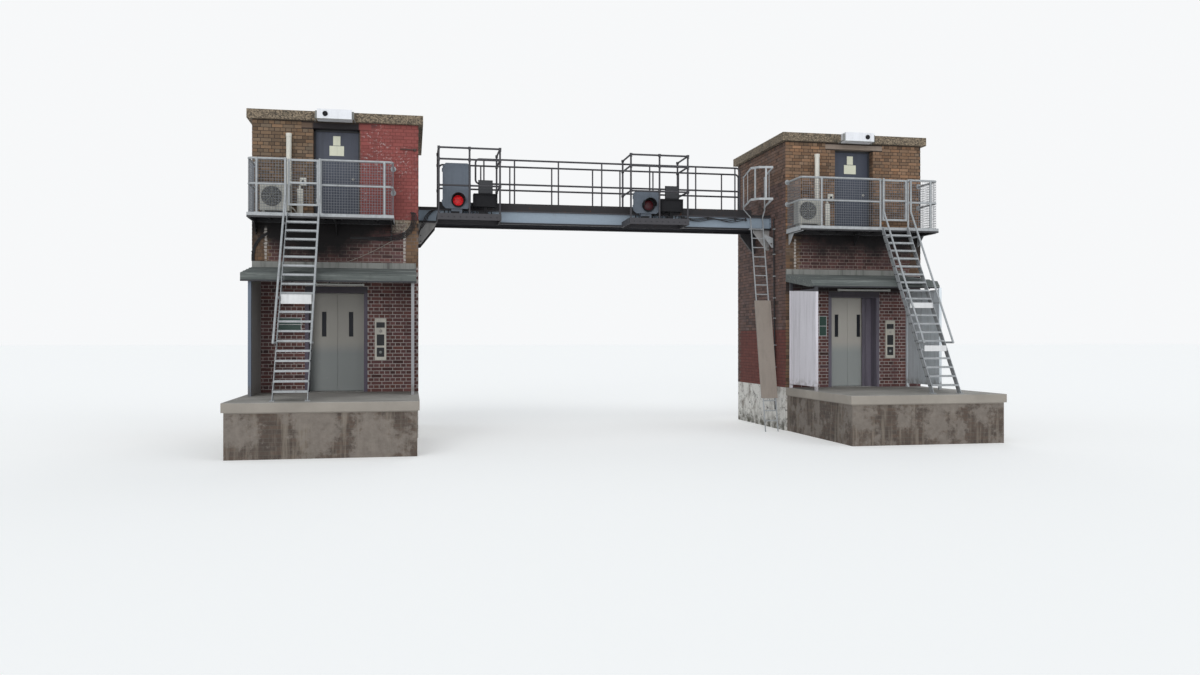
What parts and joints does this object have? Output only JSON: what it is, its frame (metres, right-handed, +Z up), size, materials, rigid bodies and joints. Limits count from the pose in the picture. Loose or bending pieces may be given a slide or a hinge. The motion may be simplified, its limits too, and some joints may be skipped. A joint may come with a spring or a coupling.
{
  "type": "railway platform lift towers with signal gantry",
  "caption": "Two brick lift towers with canopies, balconies and steep service stairs, joined by a steel signal gantry with a ladder.",
  "frame": {"origin": "midway between the towers, in the plane of the front walls, at ground level", "axes": "+X to the right along the gantry, +Y away from the front, +Z up"},
  "size_m": [15.36, 6.8, 6.9],
  "materials": {
    "brick": "weathered red-brown brickwork",
    "red_brick": "darker red infill brickwork",
    "render": "stained cement render",
    "concrete": "worn concrete",
    "roof_band": "exposed aggregate concrete",
    "door_frame": "dark purple-brown gloss paint",
    "lift_leaf": "brushed stainless steel",
    "upper_door": "dark slate paint",
    "call_panel": "cream enamel",
    "canopy": "weathered grey-green sheet",
    "screen": "pale grey sheet",
    "galvanised": "galvanised steel",
    "gantry_steel": "blue-grey paint",
    "dark_steel": "dark weathered tube",
    "deck_steel": "rusty dark steel plate",
    "signal_grey": "grey painted backing plate",
    "black_box": "matt black paint",
    "white_case": "white powder coat",
    "unit_case": "off-white casing",
    "vent": "white plastic pipe",
    "guard": "beige paint"
  },
  "bodies": {
    "structure": {"tower_bases": "render", "left_side_walls": "brick", "right_side_walls": "brick", "left_back_wall": "brick", "right_back_wall": "brick", "left_front_piers": "brick", "right_front_piers": "brick", "left_front_spandrels": "red_brick", "right_front_spandrels": "red_brick", "door_lintels": "concrete", "motor_room_floors": "concrete", "left_roof": "roof_band", "right_roof": "roof_band", "lift_door_frames": "door_frame", "motor_room_doors": "upper_door", "call_panels": "call_panel", "left_landing": "concrete", "right_landing": "concrete", "left_canopy": "canopy", "right_canopy": "canopy", "left_screens": "screen", "right_screens": "screen", "left_balcony_deck": "galvanised", "right_balcony_deck": "galvanised", "left_balcony_rails": "galvanised", "right_balcony_rails": "galvanised", "left_stair_strings": "galvanised", "right_stair_strings": "galvanised", "left_stair_treads": "galvanised", "right_stair_treads": "galvanised", "left_stair_rails": "galvanised", "right_stair_rails": "galvanised", "floodlights": "white_case", "air_conditioners": "unit_case", "vent_pipes": "vent", "gantry_girders": "gantry_steel", "gantry_brackets": "gantry_steel", "cross_beams": "deck_steel", "gantry_deck": "deck_steel", "gantry_rails": "dark_steel", "gantry_posts": "dark_steel", "left_signal_cage": "dark_steel", "right_signal_cage": "dark_steel", "left_cage_rails": "dark_steel", "right_cage_rails": "dark_steel", "signal_heads": "signal_grey", "signal_hoods": "black_box", "indicator_boxes": "black_box", "access_ladder": "galvanised", "ladder_rungs": "galvanised", "ladder_grab_rails": "galvanised", "ladder_clips": "galvanised", "ladder_hoops": "galvanised", "climb_guard": "guard"},
    "left_lift_leaf_a": {"left_lift_leaf_a": "lift_leaf"},
    "left_lift_leaf_b": {"left_lift_leaf_b": "lift_leaf"},
    "left_gate": {"left_gate": "galvanised"},
    "right_lift_leaf_a": {"right_lift_leaf_a": "lift_leaf"},
    "right_lift_leaf_b": {"right_lift_leaf_b": "lift_leaf"},
    "right_gate": {"right_gate": "galvanised"}
  },
  "joints": [
    {"name": "left_lift_door", "type": "slide", "parent": "structure", "child": "left_lift_leaf_b", "axis": [1, 0, 0], "range_m": [0, 0.56]},
    {"name": "left_lift_door_other", "type": "slide", "parent": "structure", "child": "left_lift_leaf_a", "axis": [-1, 0, 0], "range_m": [0, 0.56]},
    {"name": "left_gate_hinge", "type": "hinge", "parent": "structure", "child": "left_gate", "pos_m": [-6.159, -0.81, 5.3], "axis": [0, 0, -1], "range_deg": [0, 90]},
    {"name": "right_lift_door", "type": "slide", "parent": "structure", "child": "right_lift_leaf_b", "axis": [1, 0, 0], "range_m": [0, 0.56]},
    {"name": "right_lift_door_other", "type": "slide", "parent": "structure", "child": "right_lift_leaf_a", "axis": [-1, 0, 0], "range_m": [0, 0.56]},
    {"name": "right_gate_hinge", "type": "hinge", "parent": "structure", "child": "right_gate", "pos_m": [6.781, -0.81, 5.3], "axis": [0, 0, -1], "range_deg": [0, 90]}
  ],
  "couplings": [
    {"joint": "left_lift_door_other", "follows": "left_lift_door", "ratio": 1},
    {"joint": "right_lift_door_other", "follows": "right_lift_door", "ratio": 1}
  ]
}
